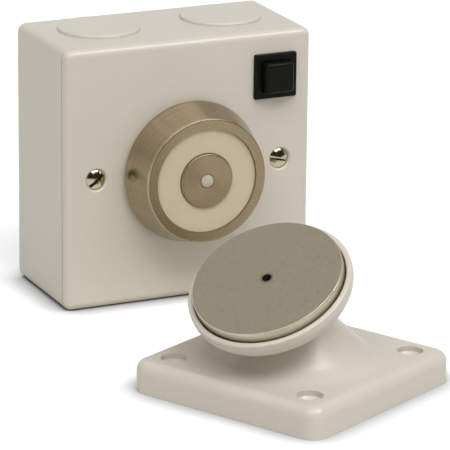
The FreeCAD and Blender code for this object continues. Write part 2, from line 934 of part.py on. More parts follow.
def make_switch_terminal(label, side):
    """Blade that passes through the base and hooks over one end of the bridge."""
    body = new_body(label)
    tail = -s.housing_depth - s.blade_tail
    sketch = sketch_on(body, "XZ_Plane")
    corners = [
        (blade_outside, tail),
        (blade_outside, hook_front),
        (blade_outside - s.blade_hook, hook_front),
        (blade_outside - s.blade_hook, hook_front - s.blade_thick),
        (blade_inside, hook_front - s.blade_thick),
        (blade_inside, tail),
    ]
    outline(sketch, [(x * side, z) for x, z in corners])
    pad(body, sketch, s.blade_width, middle=True)
    return place_at_button(body)


def make_switch_terminals():
    return group("switch_terminals", [
        make_switch_terminal("switch_terminal_left", -1),
        make_switch_terminal("switch_terminal_right", 1),
    ])


def make_switch_base():
    body = new_body("switch_base")
    side_length = cavity_side - s.housing_fit
    plate = sketch_on(body, lift=base_front)
    rectangle(plate, ZERO, ZERO, side_length, side_length)
    pad(body, plate, s.switch_base_thick, down=True)
    slots = sketch_on(body, lift=base_front)
    for side in (-1, 1):
        x = (blade_inside + blade_outside) / 2 * side
        rectangle(slots, x, ZERO, s.blade_thick + s.thread_fit, s.blade_width + s.thread_fit)
    pocket(body, slots, s.switch_base_thick)
    return place_at_button(body)


# Terminal block. Its pieces have z = 0 on the inside of the box's back wall.

def place_at_terminals(feature, x=ZERO):
    return place_on_wall(feature, x, -terminal_drop, s.box_back)


def make_terminal_block():
    body = new_body("terminal_block")
    block = sketch_on(body)
    rectangle(block, ZERO, ZERO, s.terminal_width, s.terminal_breadth)
    pad(body, block, s.terminal_height)
    chambers = sketch_on(body)
    for step in (-1, 0, 1):
        rectangle(chambers, s.terminal_pitch * step, ZERO,
                  s.clamp_width + s.clamp_fit * 2, s.clamp_breadth + s.clamp_fit * 2)
    pocket(body, chambers, s.clamp_height + s.clamp_fit, up=True)
    for step in (-1, 0, 1):
        x = s.terminal_pitch * step
        drill(body, s.terminal_head_radius + s.clamp_fit, s.terminal_height, x, ZERO, ZERO)
        drill(body, s.clamp_bore + s.clamp_fit, s.terminal_breadth, x,
              -s.terminal_breadth / 2, s.wire_height, along_y=True)
    return place_at_terminals(body)


def make_terminal_clamp(step):
    body = new_body(f"terminal_clamp_{step + 2}")
    sketch = sketch_on(body)
    rectangle(sketch, ZERO, ZERO, s.clamp_width, s.clamp_breadth)
    pad(body, sketch, s.clamp_height)
    drill(body, s.clamp_bore, s.clamp_breadth, ZERO, -s.clamp_breadth / 2, s.wire_height, along_y=True)
    thread = s.terminal_screw_radius + s.thread_fit
    drill(body, thread, s.clamp_height - s.wire_height, ZERO, ZERO, s.wire_height)
    return place_at_terminals(body, s.terminal_pitch * step)


def make_terminal_screw(step):
    body = new_body(f"terminal_screw_{step + 2}")
    tip = s.wire_height + s.lead_radius + s.thread_fit
    head_top = s.clamp_height + s.terminal_head_height
    revolve(body, [
        (ZERO, tip),
        (s.terminal_screw_radius, tip),
        (s.terminal_screw_radius, s.clamp_height),
        (s.terminal_head_radius, s.clamp_height),
        (s.terminal_head_radius, head_top),
        (ZERO, head_top),
    ])
    slot(body, s.terminal_slot_width, s.terminal_slot_depth, head_top, s.terminal_head_radius)
    return place_at_terminals(body, s.terminal_pitch * step)


def make_terminal_clamps():
    return group("terminal_clamps", [make_terminal_clamp(step) for step in (-1, 0, 1)])


def make_terminal_screws():
    return group("terminal_screws", [make_terminal_screw(step) for step in (-1, 0, 1)])


# Internal leads, swept along straight runs that are joined by tangent arcs

ARC_SHARE = 0.45


def lead_path(points):
    edges = []
    last = points[0]
    for before, corner, after in zip(points, points[1:], points[2:]):
        arriving = (corner - before).normalize()
        leaving = (after - corner).normalize()
        reach = ARC_SHARE * min((corner - before).Length, (after - corner).Length)
        half_turn = arriving.getAngle(leaving) / 2
        radius = reach / math.tan(half_turn)
        inward = (leaving - arriving).normalize()
        middle = corner + inward * (radius / math.cos(half_turn) - radius)
        start = corner - arriving * reach
        end = corner + leaving * reach
        edges.append(Part.LineSegment(last, start).toShape())
        edges.append(Part.Arc(start, middle, end).toShape())
        last = end
    edges.append(Part.LineSegment(last, points[-1]).toShape())
    return Part.Wire(edges)


def make_lead(label, route):
    points = [Vector(*(as_size(value).number for value in point)) for point in route]
    path = lead_path(points)
    section = Part.Wire([Part.makeCircle(s.lead_radius.number, points[0], points[1] - points[0])])
    lead = doc.addObject("Part::Feature", label)
    lead.Label = label
    lead.Shape = path.makePipeShell([section], True, True)
    return place_on_wall(lead)


def make_leads():
    wire_level = s.box_back + s.wire_height
    entry = -terminal_drop + s.terminal_breadth / 2
    wire_end = -terminal_drop + s.clamp_breadth / 4
    approach = entry + s.lead_run_height / 2
    turn_level = s.box_back + s.lead_run_height
    spread = s.lead_spread / 2
    coil_end = plate_front + winding_back
    drop_level = s.box_depth - s.lead_run_height
    tag_end = plate_front - s.housing_depth - s.blade_tail
    tag_left = button_x - (blade_inside + blade_outside) / 2
    tag_right = button_x + (blade_inside + blade_outside) / 2
    near = s.lead_hole_offset
    first, second, third = -s.terminal_pitch, ZERO, s.terminal_pitch
    return [
        make_lead("coil_lead_feed", [
            (-spread, -near, coil_end),
            (-spread, -near, drop_level),
            (second - spread, approach, turn_level),
            (second - spread, entry, wire_level),
            (second - spread, wire_end, wire_level),
        ]),
        make_lead("coil_lead_return", [
            (spread, -near, coil_end),
            (spread, -near, drop_level),
            (third, approach, turn_level),
            (third, entry, wire_level),
            (third, wire_end, wire_level),
        ]),
        make_lead("switch_lead_supply", [
            (tag_left, button_y, tag_end),
            (tag_left, button_y, turn_level),
            (first, approach, turn_level),
            (first, entry, wire_level),
            (first, wire_end, wire_level),
        ]),
        make_lead("switch_lead_feed", [
            (tag_right, button_y, tag_end),
            (tag_right, button_y, turn_level),
            (second + spread, approach, turn_level),
            (second + spread, entry, wire_level),
            (second + spread, wire_end, wire_level),
        ]),
    ]


# Keeper base and the swivel's socket. z = 0 on the mounting face.

def make_keeper_base():
    body = new_body("keeper_base")
    hole = s.base_hole_pitch / 2
    cavity = s.ball_radius + s.ball_fit
    lip_height = root(cavity * cavity - s.lip_radius * s.lip_radius)
    retainer_pocket = s.retainer_radius + s.retainer_fit
    plate = sketch_on(body)
    rectangle(plate, ZERO, ZERO, s.base_side, s.base_side)
    pad(body, plate, s.base_thick)
    fillet(body, s.base_corner, is_upright)
    fillet(body, s.base_edge_round, lambda edge: lies_at(edge, s.base_thick))
    revolve(body, [
        (ZERO, s.base_thick / 2),
        (s.boss_foot_radius, s.base_thick / 2),
        (s.boss_foot_radius, s.base_thick),
        (s.boss_top_radius, s.boss_height),
        (ZERO, s.boss_height),
    ])
    fillet(body, s.boss_foot_round, lambda edge: is_ring(edge, s.boss_foot_radius, s.base_thick))
    groove(body, [
        (ZERO, ZERO),
        (retainer_pocket, ZERO),
        (retainer_pocket, s.retainer_top),
        (s.seat_radius, s.retainer_top),
        (s.seat_radius, s.pivot_height),
        (cavity, s.pivot_height, "left", cavity),
        (s.lip_radius, s.pivot_height + lip_height),
        (s.mouth_radius, s.boss_height),
        (ZERO, s.boss_height),
    ])
    fillet(body, s.boss_top_round,
           lambda edge: is_ring(edge, s.boss_top_radius, s.boss_height))
    sink_floor = s.base_thick - s.base_sink_depth
    holes = [
        drill(body, s.base_hole_radius, s.base_thick, hole, hole, ZERO),
        drill(body, s.base_sink_radius, s.base_sink_depth, hole, hole, sink_floor),
        countersink(body, s.base_hole_radius, s.base_sink_radius, hole, hole, sink_floor),
    ]
    repeat_round(body, holes, 4)
    hollow = sketch_on(body)
    for side in (-1, 1):
        x = s.base_side / 2 - s.base_rim - s.base_pocket_width / 2
        y = (s.base_rib + s.base_pocket_length) / 2 * side
        rectangle(hollow, x, y, s.base_pocket_width, s.base_pocket_length)
    repeat_round(body, [pocket(body, hollow, s.base_thick - s.base_skin, up=True)], 4)
    thread = drill(body, s.retainer_screw_radius, s.retainer_screw_length,
                   s.retainer_screw_ring, ZERO, s.retainer_top)
    repeat_round(body, [thread], 3)
    return place_on_floor(body)


def make_ball_seat():
    """Nylon cup that holds the ball up against the boss."""
    body = new_body("ball_seat")
    outside = s.seat_radius - s.seat_fit
    inside = s.ball_radius + s.ball_fit
    top = -s.seat_drop
    low = seat_bottom - s.pivot_height
    low_radius = root(inside * inside - low * low)
    top_radius = root(inside * inside - top * top)
    revolve(body, [
        (low_radius, seat_bottom),
        (outside, seat_bottom),
        (outside, s.pivot_height + top),
        (top_radius, s.pivot_height + top, "right", inside),
    ])
    return place_on_floor(body)


def make_seat_spring():
    """Dished spring washer between the retainer plate and the cup."""
    body = new_body("seat_spring")
    outside = s.seat_radius - s.spring_margin
    revolve(body, [
        (outside, s.retainer_top),
        (outside, s.retainer_top + s.spring_thick),
        (s.spring_bore, seat_bottom),
        (s.spring_bore, seat_bottom - s.spring_thick),
    ])
    return place_on_floor(body)


def make_retainer_plate():
    body = new_body("retainer_plate")
    back = s.retainer_top - s.retainer_thick
    revolve(body, [
        (s.retainer_bore, back),
        (s.retainer_radius, back),
        (s.retainer_radius, s.retainer_top),
        (s.retainer_bore, s.retainer_top),
    ])
    hole = drill(body, s.retainer_hole_radius, s.retainer_thick, s.retainer_screw_ring, ZERO, back)
    repeat_round(body, [hole], 3)
    return place_on_floor(body)


def make_retainer_screws():
    screws = []
    head_top = s.retainer_top - s.retainer_thick
    tip = head_top + s.retainer_screw_length
    for step in range(3):
        body = new_body(f"retainer_screw_{step + 1}")
        shank = s.retainer_screw_radius - s.thread_fit
        revolve(body, [
            (ZERO, head_top - s.retainer_head_height),
            (s.retainer_head_radius, head_top - s.retainer_head_height),
            (s.retainer_head_radius, head_top),
            (shank, head_top),
            (shank, tip),
            (ZERO, tip),
        ])
        angle = s.keeper_yaw.number + 120 * step
        turn = s.keeper_yaw + 120 * step
        x = Size(f"({s.retainer_screw_ring.text} * cos({turn.text}))",
                 s.retainer_screw_ring.number * math.cos(math.radians(angle)))
        y = Size(f"({s.retainer_screw_ring.text} * sin({turn.text}))",
                 s.retainer_screw_ring.number * math.sin(math.radians(angle)))
        screws.append(place(body, s.keeper_x + x, s.keeper_y + y, floor_level))
    return group("retainer_screws", screws)


# Keeper head. z = 0 at the ball's centre and z runs along the neck.

def make_ball_stud():
    body = new_body("ball_stud")
    neck_foot = root(s.ball_radius * s.ball_radius - s.neck_radius * s.neck_radius)
    revolve(body, [
        (ZERO, -s.ball_radius, "left", s.ball_radius),
        (s.ball_radius, ZERO, "left", s.ball_radius),
        (s.neck_radius, neck_foot),
        (s.neck_radius, dish_back - s.flange_thick),
        (s.flange_radius, dish_back - s.flange_thick),
        (s.flange_radius, dish_back),
        (s.tip_radius, dish_back),
        (s.tip_radius, dish_back + s.tip_length),
        (ZERO, dish_back + s.tip_length),
    ])
    return place_on_pivot(body)


def make_keeper_dish():
    body = new_body("keeper_dish")
    bore = s.tip_radius + s.tip_fit
    recess = s.lock_washer_radius + s.lock_washer_fit
    rim = s.head_reach - s.dish_rim_drop
    inside = s.disc_radius + s.dish_gap
    revolve(body, [
        (bore, dish_back),
        (s.dish_radius, dish_back),
        (s.dish_radius, rim),
        (inside, rim),
        (inside, disc_back),
        (recess, disc_back),
        (recess, disc_back - s.lock_washer_thick),
        (bore, disc_back - s.lock_washer_thick),
    ])
    fillet(body, s.dish_round, lambda edge: is_ring(edge, s.dish_radius, dish_back))
    fillet(body, s.dish_rim_round,
           lambda edge: is_ring(edge, s.dish_radius, rim) or is_ring(edge, inside, rim))
    return place_on_pivot(body)


def make_lock_washer():
    body = new_body("lock_washer")
    bore = s.tip_radius + s.lock_washer_fit
    revolve(body, [
        (bore, disc_back - s.lock_washer_thick),
        (s.lock_washer_radius, disc_back - s.lock_washer_thick),
        (s.lock_washer_radius, disc_back),
        (bore, disc_back),
    ])
    return place_on_pivot(body)


def make_keeper_disc():
    body = new_body("keeper_disc")
    thread = s.tip_radius + s.tip_fit
    bottom = s.head_reach - s.disc_front_wall
    revolve(body, [
        (thread, disc_back),
        (s.disc_radius, disc_back),
        (s.disc_radius, s.head_reach),
        (s.disc_hole_radius, s.head_reach),
        (s.disc_hole_radius, bottom),
        (thread, bottom),
    ])
    fillet(body, s.disc_edge_round, lambda edge: is_ring(edge, s.disc_radius, s.head_reach))
    return place_on_pivot(body)


def make_nodes():
    return [
        make_back_box(),
        make_entry_plug("entry_plug_left", -1),
        make_entry_plug("entry_plug_right", 1),
        make_front_plate(),
        make_cover_screws(),
        make_thread_inserts(),
        make_pole_shell(),
        make_core_pole(),
        make_coil_bobbin(),
        make_coil_winding(),
        make_potting_ring(),
        make_magnet_washer(),
        make_magnet_nut(),
        make_ejector_pin(),
        make_ejector_spring(),
        make_spring_plug(),
        make_switch_housing(),
        make_button_cap(),
        make_contact_bridge(),
        make_button_spring(),
        make_switch_terminals(),
        make_switch_base(),
        make_terminal_block(),
        make_terminal_clamps(),
        make_terminal_screws(),
        *make_leads(),
        make_keeper_base(),
        make_ball_seat(),
        make_seat_spring(),
        make_retainer_plate(),
        make_retainer_screws(),
        make_ball_stud(),
        make_keeper_dish(),
        make_lock_washer(),
        make_keeper_disc(),
    ]


def check(nodes):
    for item in doc.Objects:
        if "Invalid" in item.State or "Error" in item.State:
            raise RuntimeError(f"{item.Name} failed: {item.State}")
    for node in nodes:
        if node.Shape.isNull() or not node.Shape.isValid():
            raise RuntimeError(f"{node.Label} has no valid shape")


def write(nodes):
    os.makedirs("parts", exist_ok=True)
    for node in nodes:
        node.Shape.exportStep(os.path.join("parts", node.Label + ".step"))


made = make_nodes()
doc.recompute()
check(made)
write(made)
for made_node in made:
    solids = len(made_node.Shape.Solids)
    print(f"{made_node.Label}: {solids} solid(s), {made_node.Shape.Volume:.1f} mm3")
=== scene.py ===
"""Looks of the electromagnetic door holder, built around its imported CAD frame.

Metres. +Z is up, the magnet faces -Y, and both units stand on the plane under the wall box.
"""
import json
import math

import bmesh
import bpy
from mathutils import Matrix, Vector


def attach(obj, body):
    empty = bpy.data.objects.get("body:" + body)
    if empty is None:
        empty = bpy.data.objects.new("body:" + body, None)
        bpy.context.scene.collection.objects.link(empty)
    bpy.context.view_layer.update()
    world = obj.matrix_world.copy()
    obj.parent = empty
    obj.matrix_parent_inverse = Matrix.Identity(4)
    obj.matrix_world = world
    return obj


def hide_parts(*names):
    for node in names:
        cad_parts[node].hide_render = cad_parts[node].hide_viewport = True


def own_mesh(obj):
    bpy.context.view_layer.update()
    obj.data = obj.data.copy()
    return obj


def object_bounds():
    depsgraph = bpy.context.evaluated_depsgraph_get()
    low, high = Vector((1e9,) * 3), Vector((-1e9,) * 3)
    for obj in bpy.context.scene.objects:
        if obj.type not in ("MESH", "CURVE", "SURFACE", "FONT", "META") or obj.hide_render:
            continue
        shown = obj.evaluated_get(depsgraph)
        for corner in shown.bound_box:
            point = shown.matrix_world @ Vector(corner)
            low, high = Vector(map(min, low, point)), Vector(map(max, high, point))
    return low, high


MM = 0.001
X, Y, Z = 0, 1, 2

# Colour sockets of the mix node, by number
MIX_FIRST = 6
MIX_SECOND = 7
MIX_RESULT = 2

# Camera: the photograph's viewing angle and framing
CAMERA_PLACE = Vector((-0.41356, -0.95971, 0.29922))
CAMERA_YAW = math.radians(24.682)
CAMERA_PITCH = math.radians(17.218)
CAMERA_ROLL = math.radians(-0.596)
CAMERA_LENS = 281.49
CAMERA_SENSOR = 36.0
CAMERA_SHIFT = (0.01429, -0.02566)
CAMERA_CLIP = (0.01, 50.0)

# Studio: the floor as the camera and reflections see it, and as it bounces light
FLOOR_HALF = 3.0
FLOOR_DROP = 0.05 * MM
FLOOR_SEEN = (0.74, 0.74, 0.75, 1.0)
FLOOR_GLOW = 0.46
FLOOR_CONTACT_SHADE = (0.25, 0.25, 0.27, 1.0)
CONTACT_REACH = 9.0 * MM
CONTACT_DEEP = 0.26
FLOOR_BOUNCE = (0.72, 0.70, 0.64, 1.0)
SEEN_RAYS = ("Is Camera Ray", "Is Glossy Ray", "Is Transmission Ray")

# Studio: the world, plain for diffuse light, with a dim side in front for reflections
WHITE = (1.0, 1.0, 1.0, 1.0)
AMBIENT = (0.25, 0.247, 0.241, 1.0)
MIRRORED = (0.74, 0.73, 0.70, 1.0)
DIM_SIDE = Vector((0.10, -0.93, 0.35)).normalized()
DIM_COLOUR = (0.04, 0.04, 0.04, 1.0)

# Cosines of the angle from the dim side's middle, where it begins and where it is full
DIM_EDGE = 0.32
DIM_CORE = 0.75

# Lamps: azimuth from the front, elevation, strength and breadth, with angles in degrees
LAMPS = {
    "key_left": (-45.0, 55.0, 0.84, 26.0),
    "key_middle": (0.0, 53.0, 0.94, 26.0),
    "key_right": (45.0, 55.0, 0.55, 26.0),
    "low_front": (-4.0, 22.0, 0.26, 110.0),
    "behind": (180.0, 55.0, 0.10, 60.0),
    "edge_gleam": (40.0, 55.0, 0.85, 22.0),
}
UNMIRRORED = ("low_front",)
ONLY_MIRRORED = ("edge_gleam",)

# Coil springs: the joint that presses each one, and how far
SPRINGS = {
    "button_spring": ("button_press", 2.2 * MM),
    "ejector_spring": ("ejector_slide", 2.0 * MM),
}

# Noise: levels of detail, and the middle band of values that most of it fills
SMOOTH = 1.0
PLAIN = 2.0
FINE = 3.0
RICH = 4.0
RICHEST = 5.0
BAND = (0.3, 0.7)

# In all finishes, a scale is per metre, a tone is a factor on a colour and a share is a cover from 0 to 1

# Moulded plastic
FLOW_SCALE = 34.0
FLOW_TONES = (0.98, 1.02)
FLECK_SCALE = 900.0
FLECK_SHARE = 0.2
FLECK_TONE = 0.94
PATCH_SCALE = 260.0
PATCH_SWING = 0.04
GRAIN_SCALE = 2600.0
GRAIN_DEPTH = 0.004 * MM
PLASTIC_IOR = 1.47
PLASTIC_GLEAM = 0.5

# Painted shade in the seam's gap between the cover and the box, fainter along the top
SEAM_Y = -35.8 * MM
SEAM_REACH = (0.096 * MM, 0.24 * MM)
SEAM_SHADE_SHARE = 0.8
SEAM_SHADE_TONE = 0.30
SEAM_FADE = (36.5 * MM, 39.0 * MM)
SEAM_TOP_SHADE_SHARE = 0.2

# Cast resin, with painted shade in the gaps against the pole and the shell
POLE_RADIUS = 8.25 * MM
SHELL_BORE = 16.0 * MM
RESIN_INSIDE = (POLE_RADIUS + 0.08 * MM, POLE_RADIUS + 0.42 * MM)
RESIN_INSIDE_SHADE_SHARE = 0.85
RESIN_OUTSIDE = (SHELL_BORE - 0.34 * MM, SHELL_BORE - 0.06 * MM)
RESIN_OUTSIDE_SHADE_SHARE = 0.55
CLOUD_SCALE = 90.0
CLOUD_TONES = (0.965, 1.03)
RESIN_GRAIN_SCALE = 1500.0
RESIN_GRAIN_SHARE = 0.3
RESIN_GRAIN_TONE = 0.93
RESIN_GRAIN_DEPTH = 0.006 * MM
RESIN_ROUGHNESS = (0.50, 0.60)
RESIN_IOR = 1.5

# Plated metal
PLATING_SCALE = 240.0
PLATING_TONES = (0.92, 1.06)
PLATING_PATCH_SCALE = 700.0
PLATING_GLOSS = (0.8, 1.25)
PIT_SCALE = 2800.0
PIT_DEPTH = 0.003 * MM

# Turned metal of the magnet
MAGNET_FACE_Y = -51.45 * MM
FACE_BLEND = (MAGNET_FACE_Y - 0.05 * MM, MAGNET_FACE_Y + 0.05 * MM)
# Rounded edges behind the end faces, where a highlight is painted
HIGHLIGHT_START = (MAGNET_FACE_Y + 0.02 * MM, MAGNET_FACE_Y + 0.07 * MM)
HIGHLIGHT_END = (MAGNET_FACE_Y + 0.36 * MM, MAGNET_FACE_Y + 0.46 * MM)
RING_SCALE = 900.0
RING_TONES = (0.90, 1.10)
FINE_RING_SCALE = 9000.0
FINE_RING_DEPTH = 0.0012 * MM
STAIN_SCALE = 170.0
STAIN_SHARE = 0.35
STAIN_TONE = 0.80
STREAKS_PER_RADIAN = 3.2
STREAK_BAND = (0.40, 0.66)
STREAK_SHARE = 0.55
STREAK_TONE = 0.62
FACE_SCALE = 2400.0
FACE_TONES = (0.88, 1.10)
FACE_FLECK_SCALE = 3400.0
FACE_FLECK_BAND = (0.63, 0.71)
FACE_FLECK_TONE = 1.5
TURNED_ROUGHNESS = (0.12, 0.23)
FACE_EXTRA_ROUGHNESS = 0.12
TURNED_ANISOTROPY = 0.75

# Ground steel of the disc
PIVOT = Vector((-4.95, -121.3, -28.0)) * MM
DISC_NORMAL = Vector((-0.43285, -0.25803, 0.86375))
DISC_EDGE = (21.3 * MM, 21.4 * MM)
# Painted shade round the disc's hole, where its countersink is
HOLE_SHADE = (1.2 * MM, 2.1 * MM)
HOLE_SHADE_SHARE = 0.85
HOLE_SHADE_TONE = 0.12
MOTTLE_SCALE = 950.0
MOTTLE_TONES = (0.90, 1.08)
SPECK_SCALE = 4200.0
SPECK_SHARE = 0.45
SPECK_TONE = 0.80
WEAR_SCALE = 70.0
WEAR_SHARE = 0.35
WEAR_TONE = 0.88
DISC_FLECK_SCALE = 700.0
DISC_FLECK_BAND = (0.72, 0.80)
DISC_FLECK_TONE = 0.62
SCRATCH_TURNS = (0.35, 1.25, 2.4)
SCRATCH_TILT = (0.5, 0.27)
SCRATCH_STRETCH = (60.0, 5200.0, 60.0)
SCRATCH_BAND = (0.55, 0.75)
SCRATCH_DEPTH = 0.0010 * MM
SCRATCH_SMOOTHER = 0.03
DISC_ROUGHNESS = (0.37, 0.47)
DISC_EDGE_SMOOTHER = 0.08

# Wound wire of the coil
WIRE_PITCH = 0.35 * MM
WIRE_DEPTH = 0.06 * MM
WIRE_GAP_SHADE = 0.45
WIRE_GLOSS_SCALE = 300.0
WIRE_ROUGHNESS = (0.22, 0.34)
WIRE_METALLIC = 0.75

# Colours
CREAM = (0.680, 0.634, 0.556, 1.0)
CREAM_ROUGHNESS = 0.335
BLACK = (0.0058, 0.0062, 0.0046, 1.0)
BLACK_ROUGHNESS = 0.335
BLACK_GRAIN_SCALE = 2200.0
BLACK_GLEAM = 0.10
NICKEL = (0.445, 0.370, 0.256, 1.0)
NICKEL_FACE = (0.285, 0.222, 0.134, 1.0)
# Colour of the painted highlight on the magnet's edges
NICKEL_EDGE_HIGHLIGHT = (0.52, 0.46, 0.36, 1.0)
IVORY = (0.640, 0.555, 0.395, 1.0)
IVORY_SHADOW = (0.11, 0.075, 0.04, 1.0)
STEEL_GROUND = (0.345, 0.311, 0.232, 1.0)
# Paler colour of the disc's smoother edge: a painted reflection
STEEL_EDGE_SHEEN = (0.54, 0.49, 0.39, 1.0)
COPPER = (0.52, 0.20, 0.075, 1.0)

# Other plastics and plated metals: colour and roughness
PLASTICS = {
    "white_nylon": ((0.52, 0.505, 0.42, 1.0), 0.38),
    "grey_plastic": ((0.27, 0.28, 0.29, 1.0), 0.45),
    "red_insulation": ((0.42, 0.025, 0.02, 1.0), 0.36),
    "black_insulation": ((0.014, 0.014, 0.015, 1.0), 0.36),
}
PLATED = {
    "bright_nickel": ((0.44, 0.40, 0.27, 1.0), 0.13),
    "zinc_steel": ((0.55, 0.56, 0.57, 1.0), 0.34),
    "spring_steel": ((0.42, 0.41, 0.40, 1.0), 0.28),
    "brass": ((0.66, 0.47, 0.19, 1.0), 0.30),
}


def put(tree, node, name, value):
    """Sets one input of a node to a plain value, or joins it to an output."""
    socket = node.inputs[name]
    if isinstance(value, bpy.types.NodeSocket):
        tree.links.new(value, socket)
    else:
        socket.default_value = value


def add_node(tree, kind, **values):
    """Adds a node and fills its inputs; From_Min stands for From Min."""
    node = tree.nodes.new(kind)
    for name, value in values.items():
        put(tree, node, name.replace("_", " "), value)
    return node


def mix_colours(tree, amount, first, second):
    """The first colour where the amount is 0, and the second where it is 1."""
    node = tree.nodes.new("ShaderNodeMix")
    node.data_type = "RGBA"
    put(tree, node, 0, amount)
    put(tree, node, MIX_FIRST, first)
    put(tree, node, MIX_SECOND, second)
    return node.outputs[MIX_RESULT]


def shade(colour, factor):
    """The colour made lighter or darker by a factor."""
    return tuple(channel * factor for channel in colour[:3]) + (1.0,)


class Finish:
    """One node material, built up from noises, masks and tones."""

    def __init__(self, name):
        self.material = bpy.data.materials.new(name)
        self.material.use_nodes = True
        self.tree = self.material.node_tree
        self.surface = self.tree.nodes["Principled BSDF"]
        self.place = self.add("ShaderNodeTexCoord").outputs["Object"]

    def add(self, kind, **values):
        return add_node(self.tree, kind, **values)

    def set(self, **values):
        """Sets inputs of the surface; Base_Color stands for Base Color."""
        for name, value in values.items():
            put(self.tree, self.surface, name.replace("_", " "), value)

    def noise(self, scale, detail=PLAIN, at=None):
        node = self.add("ShaderNodeTexNoise", Vector=at or self.place, Scale=scale, Detail=detail)
        return node.outputs[0]

    def rings(self, distance, scale, detail=PLAIN):
        """Noise along one length only, which draws rings or streaks."""
        node = self.tree.nodes.new("ShaderNodeTexNoise")
        node.noise_dimensions = "1D"
        put(self.tree, node, "W", distance)
        put(self.tree, node, "Scale", scale)
        put(self.tree, node, "Detail", detail)
        return node.outputs[0]

    def spread(self, value, low, high, start=BAND[0], end=BAND[1]):
        """Carries the values from start to end over to the values from low to high."""
        node = self.add("ShaderNodeMapRange", Value=value, From_Min=start, From_Max=end)
        put(self.tree, node, "To Min", low)
        put(self.tree, node, "To Max", high)
        return node.outputs[0]

    def maths(self, operation, first, second=0.0):
        node = self.tree.nodes.new("ShaderNodeMath")
        node.operation = operation
        put(self.tree, node, 0, first)
        put(self.tree, node, 1, second)
        return node.outputs[0]

    def times(self, first, second):
        return self.maths("MULTIPLY", first, second)

    def squared(self, value):
        return self.maths("POWER", value, 2.0)

    def vector_maths(self, operation, first, second):
        node = self.tree.nodes.new("ShaderNodeVectorMath")
        node.operation = operation
        put(self.tree, node, 0, first)
        put(self.tree, node, 1, second)
        return node.outputs

    def axes(self):
        """The X, Y and Z of the place on the part."""
        return self.add("ShaderNodeSeparateXYZ", Vector=self.place).outputs

    def magnet_radius(self):
        """Distance from the magnet's axis, which is the Y axis."""
        axes = self.axes()
        return self.maths("SQRT", self.maths("ADD", self.squared(axes[X]), self.squared(axes[Z])))

    def tones(self, amount, first, second):
        return mix_colours(self.tree, amount, first, second)

    def varied(self, noise, colour, tones):
        """A colour that wanders between two tones of itself with a noise."""
        low, high = tones
        return self.tones(self.spread(noise, 0.0, 1.0), shade(colour, low), shade(colour, high))

    def layer(self, tone, noise, share, colour, band=BAND):
        """Lays a colour over a tone where the noise is high, up to a share of it."""
        return self.tones(self.spread(noise, 0.0, share, *band), tone, colour)

    def bump(self, height, depth):
        return self.add("ShaderNodeBump", Height=height, Distance=depth, Strength=1.0).outputs[0]


# Finishes

def seam_shade_mask(finish):
    """The thin line of painted shade in the gap where the cover meets the box."""
    axes = finish.axes()
    from_seam = finish.maths("ABSOLUTE", finish.maths("SUBTRACT", axes[Y], SEAM_Y))
    line = finish.spread(from_seam, SEAM_SHADE_SHARE, 0.0, *SEAM_REACH)
    return finish.times(line, finish.spread(axes[Z], 1.0, SEAM_TOP_SHADE_SHARE, *SEAM_FADE))


def moulded_plastic(name, colour, roughness, grain=GRAIN_SCALE, gleam=PLASTIC_GLEAM, seam_shade=False):
    """Moulded plastic: fine spark grain, faint flow mottling and uneven gloss."""
    finish = Finish(name)
    tone = finish.varied(finish.noise(FLOW_SCALE, FINE), colour, FLOW_TONES)
    tone = finish.layer(tone, finish.noise(FLECK_SCALE), FLECK_SHARE, shade(colour, FLECK_TONE))
    # Painted shade in the gap of the seam
    if seam_shade:
        tone = finish.tones(seam_shade_mask(finish), tone, shade(colour, SEAM_SHADE_TONE))
    patches = finish.noise(PATCH_SCALE, FINE)
    gloss = finish.spread(patches, roughness - PATCH_SWING, roughness + PATCH_SWING)
    finish.set(Base_Color=tone, Roughness=gloss, IOR=PLASTIC_IOR, Specular_IOR_Level=gleam)
    finish.set(Normal=finish.bump(finish.noise(grain, FINE), GRAIN_DEPTH))
    return finish.material


def cast_resin(name, colour, shadow):
    """Cast resin ring: smooth and faintly clouded, with painted shade where it meets the pole and the
    shell.
    """
    finish = Finish(name)
    radius = finish.magnet_radius()
    cloud = finish.noise(CLOUD_SCALE, RICH)
    tone = finish.varied(cloud, colour, CLOUD_TONES)
    grain = finish.noise(RESIN_GRAIN_SCALE)
    tone = finish.layer(tone, grain, RESIN_GRAIN_SHARE, shade(colour, RESIN_GRAIN_TONE))
    # Painted shade in the gaps at the pole and at the shell
    inside_shade = finish.spread(radius, RESIN_INSIDE_SHADE_SHARE, 0.0, *RESIN_INSIDE)
    outside_shade = finish.spread(radius, 0.0, RESIN_OUTSIDE_SHADE_SHARE, *RESIN_OUTSIDE)
    tone = finish.tones(finish.maths("MAXIMUM", inside_shade, outside_shade), tone, shadow)
    finish.set(Base_Color=tone, Roughness=finish.spread(cloud, *RESIN_ROUGHNESS), IOR=RESIN_IOR)
    finish.set(Normal=finish.bump(finish.noise(RESIN_GRAIN_SCALE, FINE), RESIN_GRAIN_DEPTH))
    return finish.material


def plated_metal(name, colour, roughness):
    """Plated metal: faint stains in the plating and fine pits."""
    finish = Finish(name)
    tone = finish.varied(finish.noise(PLATING_SCALE, RICH), colour, PLATING_TONES)
    smooth, rough = PLATING_GLOSS
    patches = finish.noise(PLATING_PATCH_SCALE, RICH)
    gloss = finish.spread(patches, roughness * smooth, roughness * rough)
    finish.set(Base_Color=tone, Metallic=1.0, Roughness=gloss)
    finish.set(Normal=finish.bump(finish.noise(PIT_SCALE), PIT_DEPTH))
    return finish.material


